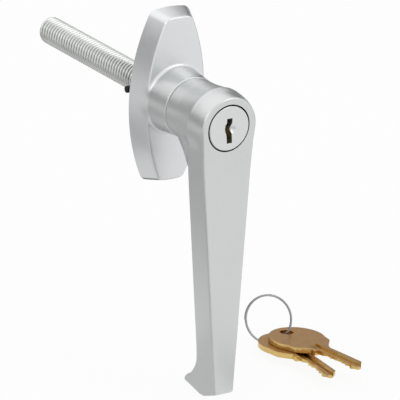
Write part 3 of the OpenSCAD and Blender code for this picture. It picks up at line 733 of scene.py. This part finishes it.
class HANDLE_OT_spindle(bpy.types.Operator):
    """Cuts the spindle's thread as one true helix"""

    bl_idname = "handle.spindle"
    bl_label = "Threaded spindle"

    def execute(self, context):
        outer = side_mm("spindle", "x", True)
        pitch = context.scene.handle_sizes.thread_pitch / MM
        verts, faces = threaded_rod(outer, pitch, ROD_NEAR, ROD_FAR)
        rod = new_piece("threaded_spindle", verts, faces, "handle", "zinc_steel", "spindle")
        clean = bmesh.new()
        clean.from_mesh(rod.data)
        bmesh.ops.remove_doubles(clean, verts=clean.verts, dist=0.02 * MM)
        bmesh.ops.dissolve_degenerate(clean, dist=0.01 * MM, edges=clean.edges)
        bmesh.ops.holes_fill(clean, edges=clean.edges, sides=200)
        bmesh.ops.recalc_face_normals(clean, faces=clean.faces)
        clean.to_mesh(rod.data)
        clean.free()
        rod.data.shade_smooth()
        rod.data.set_sharp_from_angle(angle=math.radians(60))
        give(rod, zinc_plate(), plain_steel())
        refinish(rod, 1, lambda polygon: abs(polygon.normal.y) > 0.95)
        return {"FINISHED"}


class HANDLE_OT_washers(bpy.types.Operator):
    """Finishes the washers, collar and pins behind the plate, and bends the wave washer smoothly"""

    bl_idname = "handle.washers"
    bl_label = "Washers and pins"

    def execute(self, context):
        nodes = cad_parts
        low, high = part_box("wave_washer")
        steps, waves, thick, r_in, r_out = 144, 3, 0.5, 5.18, high.x / MM
        mid, rise = (low.y + high.y) / 2 / MM, ((high.y - low.y) / MM - thick) / 2
        section = [(r_in, -0.35), (r_in + 0.1, -0.5), (r_out - 0.1, -0.5), (r_out, -0.35), (r_out, 0.35),
                   (r_out - 0.1, 0.5), (r_in + 0.1, 0.5), (r_in, 0.35)]
        verts = []
        for i in range(steps):
            a = 2 * math.pi * i / steps
            y = mid + rise * math.cos(waves * a)
            verts += [(r * math.cos(a), y + k * thick, r * math.sin(a)) for r, k in section]
        wave = new_piece("wave_spring_washer", verts, sweep_faces(steps, len(section), steps),
                         "handle", "steel", "wave_washer")
        give(wave, plain_steel())
        for name, finish, edge in (
                ("retaining_washer", zinc_plate(), 0.2), ("thrust_collar", zinc_plate(), 0.3),
                ("cross_pin", black_oxide(), 0.3), ("spindle_pin", plain_steel(), 0.2),
                ("seal_ring", rubber(), 0)):
            give(nodes[name], finish)
            if edge:
                soften(nodes[name], edge)
        return {"FINISHED"}


# ---- Lock ----


class HANDLE_OT_lock(bpy.types.Operator):
    """Finishes the lock plug, its wafers, springs, shell, cam and bolt"""

    bl_idname = "handle.lock"
    bl_label = "Lock"

    def execute(self, context):
        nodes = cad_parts
        give(nodes["lock_plug"], plug_chrome())
        soften(nodes["lock_plug"], 0.1)
        for name in ("lock_shell", "drive_cam"):
            give(nodes[name], raw_zinc())
        for name in ("plug_clip", "shell_pin", "lock_bolt"):
            give(nodes[name], plain_steel())
        # The wafers carry painted shade, down in the keyway.
        for i in range(1, 6):
            give(nodes[f"wafer_{i}"], wafer_painted_shade_brass())
            give(nodes[f"wafer_spring_{i}"], plain_steel())
        return {"FINISHED"}


# ---- Keys and ring ----


# The bench that the keys lie on, in degrees and millimetres
BENCH_LEAN, BENCH_TURN = 3.4, -35.16
BENCH_PIVOT = Vector((48.9, -12, -91.1))
# A key, in millimetres: its bow and its hole, then its blade, cuts and groove
KEY_T, KEY_EDGE, KEY_STEP = 1.9, 0.16, 0.16
BOW_R, BOW_OFF, BOW_TOP, HOLE_R, HOLE_EDGE = 9.85, 5.45, 4.4, 2.35, 0.1
NECK_LEN, BLADE_LEN, BACK_HALF, BLADE_W = 19.6, 18.0, 2.75, 5.2
KEY_CUTS, CUT_FROM, CUT_STEP, CUT_HALF = (1.5, 1.1, 1.9, 1.3, 1.0), 4.0, 2.6, 0.5
GROOVE_NEAR, GROOVE_FAR, GROOVE_FLOOR, GROOVE_STEP = 1.45, 3.8, 1.15, 0.4
GROOVE_RUN, LIFT_FROM, LIFT_SPAN = 5, -17.6, 12  # the groove's end, and how it lifts out toward the bow
UNDERCUT_W, UNDERCUT_T = 1.9, 0.4
# Which of a key's faces are milled, and where its groove gets painted shade
MILLED_LEAN, MILLED_BELOW, RIM_R = 0.6, -5, 4
DARK_NEAR, DARK_FAR, DARK_BELOW, DARK_LOW, DARK_HIGH = 1.42, 2.35, -14, 0.5, KEY_T - 0.12
KEY_BODIES = {"key_1": "upper_key", "key_2": "lower_key"}
KEY_PLACES = {"key_1": ((47.3, -13.9, -92.2), -84.5), "key_2": ((45.35, -12.4, -94.15), -97.5)}
RING_CENTRE = Vector((43.8, -7.52, -87.11))
RING_TURN, RING_RISE, RING_R = -143.7, 14.1, 8.27
RING_T, STRIP_W, STRIP_T = 0.9, 0.75, 0.42
RING_TURNS, RING_STEPS, RING_START = 1.28, 200, 180  # turns of strip, its steps, and its end in degrees


def on_bench(place):
    """Puts a place on the bench that leans away from the viewer, in millimetres."""
    axis = Vector((math.cos(math.radians(BENCH_TURN)), math.sin(math.radians(BENCH_TURN)), 0))
    return (Matrix.Translation(BENCH_PIVOT) @ Matrix.Rotation(math.radians(-BENCH_LEAN), 4, axis)
            @ Matrix.Translation(-BENCH_PIVOT) @ place)


def key_form(x, y, z):
    """A key with its hole at the origin, its blade along -y and one face at z = 0."""
    tip, edge = -NECK_LEN - BLADE_LEN, BACK_HALF - BLADE_W
    neck = [(-BOW_R, -BOW_OFF), (-7.9, -13.6), (-6.5, -14.9), (-3.9, -17.2), (-3.9, -NECK_LEN),
            (BACK_HALF, -NECK_LEN), (BACK_HALF + 1.2, 2.2 - NECK_LEN), (7.9, -13.6), (BOW_R, -BOW_OFF)]
    blade = [(edge, -NECK_LEN + 1), (edge, tip + 1.2), (edge + 1.5, tip), (BACK_HALF - 1.9, tip),
             (BACK_HALF, tip + 1.9), (BACK_HALF, -NECK_LEN + 1)]
    flat = np.minimum(np.hypot(x, y + BOW_OFF) - BOW_R, outline_distance(x, y, neck))
    flat = np.minimum(flat, outline_distance(x, y, blade))
    for i, depth in enumerate(KEY_CUTS):
        v = np.abs(y + NECK_LEN + CUT_FROM + i * CUT_STEP)
        notch = np.maximum(x - edge - depth, (v - CUT_HALF - depth + (x - edge)) / math.sqrt(2))
        flat = np.maximum(flat, -notch)
    flat = round_and(flat, HOLE_R - np.hypot(x, y), HOLE_EDGE)
    solid = round_and(flat, np.abs(z - KEY_T / 2) - KEY_T / 2, KEY_EDGE)
    rise = np.maximum(y - LIFT_FROM, 0) ** 2 / LIFT_SPAN
    back = BACK_HALF - x
    groove = np.maximum(GROOVE_NEAR + 0.25 * (KEY_T - z) - back, back - GROOVE_FAR - (z - GROOVE_FLOOR) * 2)
    groove = np.maximum(groove, GROOVE_FLOOR - GROOVE_STEP * ramp(-back, -2.5, -2.3) + rise - z)
    groove = np.maximum(groove, y + NECK_LEN - GROOVE_RUN)
    solid = np.maximum(solid, -groove)
    under = np.maximum(np.maximum(x - edge - UNDERCUT_W, z - UNDERCUT_T), y + NECK_LEN)
    return np.maximum(solid, -under)


def milled_side(u, v, n):
    """Whether a key's face with the normal n is one of its cut sides, and not the inside of its hole."""
    return abs(n[2]) < MILLED_LEAN * np.linalg.norm(n) and (v < MILLED_BELOW or u * u + v * v > RIM_R**2)


def in_groove(u, v, w):
    """Whether a place on a key is on the floor of its groove."""
    return DARK_NEAR < BACK_HALF - u < DARK_FAR and v < DARK_BELOW and DARK_LOW < w < DARK_HIGH


class HANDLE_OT_keys(bpy.types.Operator):
    """Skins the two keys with their grooves and cuts"""

    bl_idname = "handle.keys"
    bl_label = "Keys"

    def execute(self, context):
        low, high = (-BOW_R, -NECK_LEN - BLADE_LEN, 0), (BOW_R, BOW_TOP, KEY_T)
        verts, faces = skin(key_form, low, high, KEY_STEP)
        for name, (hole, heading) in KEY_PLACES.items():
            turned = Matrix.Rotation(math.radians(heading + 90), 4, "Z")
            place = np.array(on_bench(Matrix.Translation(hole) @ turned))
            placed = verts @ place[:3, :3].T + place[:3, 3]
            key = new_piece(f"brass_{name}", placed, faces, KEY_BODIES[name], "key_brass", name,
                            smooth_angle=30)
            give(key, key_brass(), milled_brass(), tarnished_brass())
            for polygon in key.data.polygons:
                corners = verts[list(polygon.vertices)]
                u, v, w = corners.mean(0)
                if milled_side(u, v, np.cross(corners[2] - corners[0], corners[3] - corners[1])):
                    polygon.material_index = 1
                # Painted shade in the key's groove.
                elif in_groove(u, v, w):
                    polygon.material_index = 2
        return {"FINISHED"}


def ring_frame():
    """Turns a ring lying round the z axis into the split ring's place, in millimetres."""
    return on_bench(Matrix.Translation(RING_CENTRE) @ Matrix.Rotation(math.radians(RING_TURN), 4, "Z")
                    @ Matrix.Rotation(math.radians(90 - RING_RISE), 4, "Y"))


class HANDLE_OT_key_ring(bpy.types.Operator):
    """Winds the split ring from flat strip: a turn and a quarter, doubled where its ends pass each other"""

    bl_idname = "handle.key_ring"
    bl_label = "Split ring"

    def execute(self, context):
        section = [(-0.5, -0.3), (-0.36, -0.5), (0.36, -0.5), (0.5, -0.3), (0.5, 0.3), (0.36, 0.5),
                   (-0.36, 0.5), (-0.5, 0.3)]
        around = len(section)
        verts = []
        for i in range(RING_STEPS + 1):
            t = i / RING_STEPS
            a = math.radians(RING_START) + t * RING_TURNS * 2 * math.pi
            ease = ramp(np.float64(t * RING_TURNS), 0.3, 0.95)
            mid = (float(ease) - 0.5) * (RING_T - STRIP_T)
            for u, v in section:
                r = RING_R + u * STRIP_W
                verts.append((r * math.cos(a), r * math.sin(a), mid + v * STRIP_T))
        faces = sweep_faces(RING_STEPS, around, RING_STEPS + 1)
        faces += [tuple(reversed(range(around))), tuple(around * RING_STEPS + j for j in range(around))]
        place = ring_frame()
        verts = [tuple(place @ Vector(v)) for v in verts]
        ring = new_piece("split_ring", verts, faces, "ring", "ring_steel", "key_ring")
        give(ring, ring_steel())
        return {"FINISHED"}


# ---- Stage, light and camera ----

# Numbers here are metres, and an emission or background strength of 1 is white.
WORLD_LEVEL = 0.75  # what lights the object; the eye sees 1
EYE_SHARE = 0.92  # how much of the floor's white the eye sees whatever its light; the rest holds the shadow
FLOOR_R, FLOOR_SIDES, FLOOR_GAP, SHEET_GAP = 1.2, 64, 0.0003, 0.0002
# Name, place, size and watts
LAMPS = (
    ("key_light", (0.9, -1.3, 1.2), 1.0, 3.5),
    ("fill_light", (-1.4, -0.6, 0.9), 0.8, 2),
    ("top_light", (-0.2, 0.4, 1.4), 2.0, 3.2),
)
# Grey sheets on the floor: name, x from and to, y from and to, level, and a level to fade to at FADE_END
FADE_END = 0.1
SHEETS = (
    ("sheet_left", -1, -0.2, -0.3, 1.2, 0.8),
    ("sheet_near", -0.2, -0.09, -0.3, 1.2, 0.5),
    ("sheet_under_band", -0.09, -0.005, 0, 1.2, 0.9, 0.6),
    ("sheet_hook", -0.09, -0.003, -0.3, 0, 0.72),
    ("sheet_toe", 0.015, 0.04, -0.1, -0.045, 0.75),
    ("sheet_behind", -0.005, 1.3, 0.02, 1.2, 0.1),
)
# Grey walls on the floor: name, the foot's two ends as x and y, the height at each end, level
WALLS = (
    ("wall_left", (-1, -0.3), (-1, 1.2), 0.4, 0.4, 0.4),
    ("wall_back_left", (-1, 1.2), (-0.1, 1.2), 0.45, 0.45, 0.45),
    ("wall_back_right", (-0.1, 1.2), (1.3, 1.2), 0.35, 0.38, 0.25),
)
# One more at the right that leans over the object: its corners and its level
WALL_RIGHT = ((1.25, 0.35, 0.1), (1.0, 0.95, 0.1), (0.75, 0.85, 1.0), (1.1, 0.3, 1.0))
WALL_RIGHT_LEVEL = 0.2


def camera_axes():
    """The camera's right, up and forward directions."""
    a, e, r = (math.radians(v) for v in (VIEW_TURN, VIEW_DROP, VIEW_ROLL))
    forward = Vector((math.sin(a) * math.cos(e), math.cos(a) * math.cos(e), -math.sin(e)))
    right = Vector((math.cos(a), -math.sin(a), 0))
    up = right.cross(forward)
    return right * math.cos(r) + up * math.sin(r), up * math.cos(r) - right * math.sin(r), forward


def place_camera(scene):
    """The photograph's camera."""
    data = bpy.data.cameras.new("camera")
    data.sensor_fit = "AUTO"
    data.sensor_width = SENSOR
    data.lens = VIEW_LENS
    data.clip_start, data.clip_end = 0.05, 20
    camera = bpy.data.objects.new("camera", data)
    scene.collection.objects.link(camera)
    right, up, forward = camera_axes()
    per_pixel = VIEW_DISTANCE * SENSOR / VIEW_LENS / IMAGE
    seen = (right * (ORIGIN_AT[0] - IMAGE / 2) + up * (IMAGE / 2 - ORIGIN_AT[1])) * per_pixel
    place = -(seen + forward * VIEW_DISTANCE)
    camera.matrix_world = Matrix((
        (right.x, up.x, -forward.x, place.x), (right.y, up.y, -forward.y, place.y),
        (right.z, up.z, -forward.z, place.z), (0, 0, 0, 1)))
    scene.camera = camera


def soft_light(scene, name, place, aim, size, watts):
    """A square soft box at place, facing aim."""
    data = bpy.data.lights.new(name, "AREA")
    data.shape, data.size, data.energy = "SQUARE", size, watts
    lamp = bpy.data.objects.new(name, data)
    scene.collection.objects.link(lamp)
    lamp.location = place
    lamp.rotation_mode = "QUATERNION"
    lamp.rotation_quaternion = (Vector(place) - Vector(aim)).to_track_quat("Z", "Y")


def grey_card(name, corners, level, fade_to=None):
    """A card that only the metal's gloss sees, as in a light tent. It may fade toward the back."""
    mesh = bpy.data.meshes.new(name)
    mesh.from_pydata(corners, [], [(0, 1, 2, 3)])
    card = bpy.data.objects.new(name, mesh)
    bpy.context.scene.collection.objects.link(card)
    card.visible_camera = card.visible_diffuse = card.visible_shadow = card.visible_transmission = False
    card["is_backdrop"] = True
    paper = bpy.data.materials.new(name)
    paper.use_nodes = True
    tree = paper.node_tree
    tree.nodes.remove(tree.nodes["Principled BSDF"])
    glow = add(tree, "ShaderNodeEmission", {"Strength": level})
    if fade_to is not None:
        place = add(tree, "ShaderNodeTexCoord")
        split = add(tree, "ShaderNodeSeparateXYZ", {"Vector": place.outputs["Object"]})
        fade = add(tree, "ShaderNodeMapRange", {
            "Value": split.outputs["Y"], "From Min": 0.0, "From Max": FADE_END,
            "To Min": level, "To Max": fade_to})
        tree.links.new(fade.outputs["Result"], glow.inputs["Strength"])
    tree.links.new(glow.outputs[0], tree.nodes["Material Output"].inputs["Surface"])
    mesh.materials.append(paper)


def seen_by_eye(tree):
    """1 for rays from the camera, from gloss and through glass, else 0."""
    path = add(tree, "ShaderNodeLightPath")
    both = add(tree, "ShaderNodeMath", {0: path.outputs["Is Camera Ray"], 1: path.outputs["Is Glossy Ray"]},
               operation="MAXIMUM")
    return add(tree, "ShaderNodeMath", {0: both.outputs[0], 1: path.outputs["Is Transmission Ray"]},
               operation="MAXIMUM").outputs[0]


class HANDLE_OT_stage(bpy.types.Operator):
    """Lays the pale floor, sets the soft light and places the camera"""

    bl_idname = "handle.stage"
    bl_label = "Stage"

    def execute(self, context):
        scene = context.scene
        scene.view_settings.view_transform = "Standard"
        place_camera(scene)
        world = scene.world or bpy.data.worlds.new("world")
        scene.world = world
        world.use_nodes = True
        tree = world.node_tree
        back = tree.nodes["Background"]
        level = add(tree, "ShaderNodeMix", {0: seen_by_eye(tree), 2: WORLD_LEVEL, 3: 1.0})
        back.inputs["Color"].default_value = (1, 1, 1, 1)
        tree.links.new(level.outputs[0], back.inputs["Strength"])

        low = min(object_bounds()[0].z, CAD_BOX[0].z) - FLOOR_GAP
        mesh = bpy.data.meshes.new("floor")
        turns = [2 * math.pi * i / FLOOR_SIDES for i in range(FLOOR_SIDES)]
        ring = [(FLOOR_R * math.cos(a), FLOOR_R * math.sin(a), low) for a in turns]
        mesh.from_pydata(ring, [], [list(range(FLOOR_SIDES))])
        floor = bpy.data.objects.new("floor", mesh)
        scene.collection.objects.link(floor)
        floor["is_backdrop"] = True
        paper = bpy.data.materials.new("matt_paper_floor")
        paper.use_nodes = True
        tree = paper.node_tree
        tree.nodes.remove(tree.nodes["Principled BSDF"])
        matt = add(tree, "ShaderNodeBsdfDiffuse", {"Color": scene.handle_finishes.floor})
        glow = add(tree, "ShaderNodeEmission", {"Color": (1, 1, 1, 1), "Strength": 1.0})
        clear = add(tree, "ShaderNodeBsdfTransparent")
        side = add(tree, "ShaderNodeNewGeometry")
        share = add(tree, "ShaderNodeMath", {0: seen_by_eye(tree), 1: EYE_SHARE}, operation="MULTIPLY")
        lit = add(tree, "ShaderNodeMixShader", {
            0: share.outputs[0], 1: matt.outputs[0], 2: glow.outputs[0]})
        one_sided = add(tree, "ShaderNodeMixShader", {
            0: side.outputs["Backfacing"], 1: lit.outputs[0], 2: clear.outputs[0]})
        tree.links.new(one_sided.outputs[0], tree.nodes["Material Output"].inputs["Surface"])
        floor.data.materials.append(paper)

        z = low + SHEET_GAP
        for name, x0, x1, y0, y1, *levels in SHEETS:
            grey_card(name, [(x0, y0, z), (x1, y0, z), (x1, y1, z), (x0, y1, z)], *levels)
        for name, a, b, top_a, top_b, level in WALLS:
            grey_card(name, [(*a, low), (*b, low), (*b, top_b), (*a, top_a)], level)
        grey_card("wall_right", WALL_RIGHT, WALL_RIGHT_LEVEL)

        middle = (CAD_BOX[0] + CAD_BOX[1]) / 2
        for name, place, size, watts in LAMPS:
            soft_light(scene, name, place, middle, size, watts)
        return {"FINISHED"}


# ---- Image points ----


def on_image(camera, points):
    """Where world points show, in the photograph's pixels."""
    inverse = np.array(camera.matrix_world.inverted())
    p = np.asarray(points, float).reshape(-1, 3) @ inverse[:3, :3].T + inverse[:3, 3]
    scale = camera.data.lens / camera.data.sensor_width * IMAGE
    return np.stack([IMAGE / 2 + scale * p[:, 0] / -p[:, 2], IMAGE / 2 - scale * p[:, 1] / -p[:, 2]], 1)


def finished_points(piece):
    """A piece's vertices after its modifiers, in the world."""
    shown = piece.evaluated_get(bpy.context.evaluated_depsgraph_get())
    mesh = shown.to_mesh()
    co = np.empty(len(mesh.vertices) * 3)
    mesh.vertices.foreach_get("co", co)
    shown.to_mesh_clear()
    world = np.array(piece.matrix_world)
    return co.reshape(-1, 3) @ world[:3, :3].T + world[:3, 3]


UPPER_HOLE = (47.297, -13.904, -91.103)  # the middle of the upper key's hole, half way through the key
KEYWAY_AT, PIN_INSET = (-0.0001, -0.0008), 0.0012  # in metres


def write_points():
    """Works out where each feature shows in the image."""
    camera = bpy.context.scene.camera
    seen = {p.name: on_image(camera, finished_points(p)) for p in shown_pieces()}
    everything = np.vstack(list(seen.values()))
    hole = Vector(UPPER_HOLE) * MM
    rod, plate, lever = seen["threaded_spindle"], seen["escutcheon_plate"], seen["handle_lever"]
    ring, top_key, low_key = seen["split_ring"], seen["brass_key_1"], seen["brass_key_2"]
    plug = on_image(camera, [(0, FACE_Y * MM, 0), (KEYWAY_AT[0], FACE_Y * MM, KEYWAY_AT[1])])
    pin_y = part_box("cross_pin")[0].y + PIN_INSET
    far_pin = on_image(camera, [(side_mm("cross_pin", "x") * MM, pin_y, 0)])[0]
    shows = {
        "object_left": (everything[:, 0].min(), None),
        "object_right": (everything[:, 0].max(), None),
        "object_top": (None, everything[:, 1].min()),
        "object_bottom": (None, everything[:, 1].max()),
        "spindle_far_end": tuple(rod[rod[:, 0].argmin()]),
        "cross_pin_end": tuple(far_pin),
        "plate_left": (plate[:, 0].min(), None),
        "plate_right": (plate[plate[:, 1] < 80][:, 0].max(), None),
        "plug_face": tuple(plug[0]),
        "keyway": tuple(plug[1]),
        "hook_tip": (lever[lever[:, 1] > 340][:, 0].min(), None),
        "lever_right": (lever[:, 0].max(), None),
        "upper_key_hole": tuple(on_image(camera, [hole])[0]),
        "upper_key_tip": tuple(top_key[top_key[:, 0].argmax()]),
        "lower_key_tip": tuple(low_key[low_key[:, 0].argmax()]),
        "ring_top": (None, ring[:, 1].min()),
        "ring_left": (ring[:, 0].min(), None),
    }


# ---- Add-on ----


class HANDLE_PT_panel(bpy.types.Panel):
    """Lists the handle's pieces, sizes and colours"""

    bl_idname = "HANDLE_PT_panel"
    bl_label = "Lever handle"
    bl_space_type = "VIEW_3D"
    bl_region_type = "UI"
    bl_category = "Handle"

    def draw(self, context):
        for group in (context.scene.handle_sizes, context.scene.handle_finishes):
            column = self.layout.column(align=True)
            for name in group.bl_rna.properties.keys():
                if name not in ("rna_type", "name"):
                    column.prop(group, name)
        for operator in OPERATORS:
            self.layout.operator(operator.bl_idname)


OPERATORS = (
    HANDLE_OT_escutcheon,
    HANDLE_OT_lever,
    HANDLE_OT_spindle,
    HANDLE_OT_washers,
    HANDLE_OT_lock,
    HANDLE_OT_keys,
    HANDLE_OT_key_ring,
    HANDLE_OT_stage,
)
CLASSES = (HandleSizes, HandleFinishes, *OPERATORS, HANDLE_PT_panel)


def register():
    for item in CLASSES:
        bpy.utils.register_class(item)
    bpy.types.Scene.handle_sizes = PointerProperty(type=HandleSizes)
    bpy.types.Scene.handle_finishes = PointerProperty(type=HandleFinishes)


def unregister():
    del bpy.types.Scene.handle_finishes
    del bpy.types.Scene.handle_sizes
    for item in reversed(CLASSES):
        bpy.utils.unregister_class(item)


def main():
    """Builds every piece in order."""
    register()
    bpy.ops.handle.escutcheon()
    bpy.ops.handle.lever()
    bpy.ops.handle.spindle()
    bpy.ops.handle.washers()
    bpy.ops.handle.lock()
    bpy.ops.handle.keys()
    bpy.ops.handle.key_ring()
    bpy.ops.handle.stage()
    write_points()


if __name__ == "__main__":
    main()
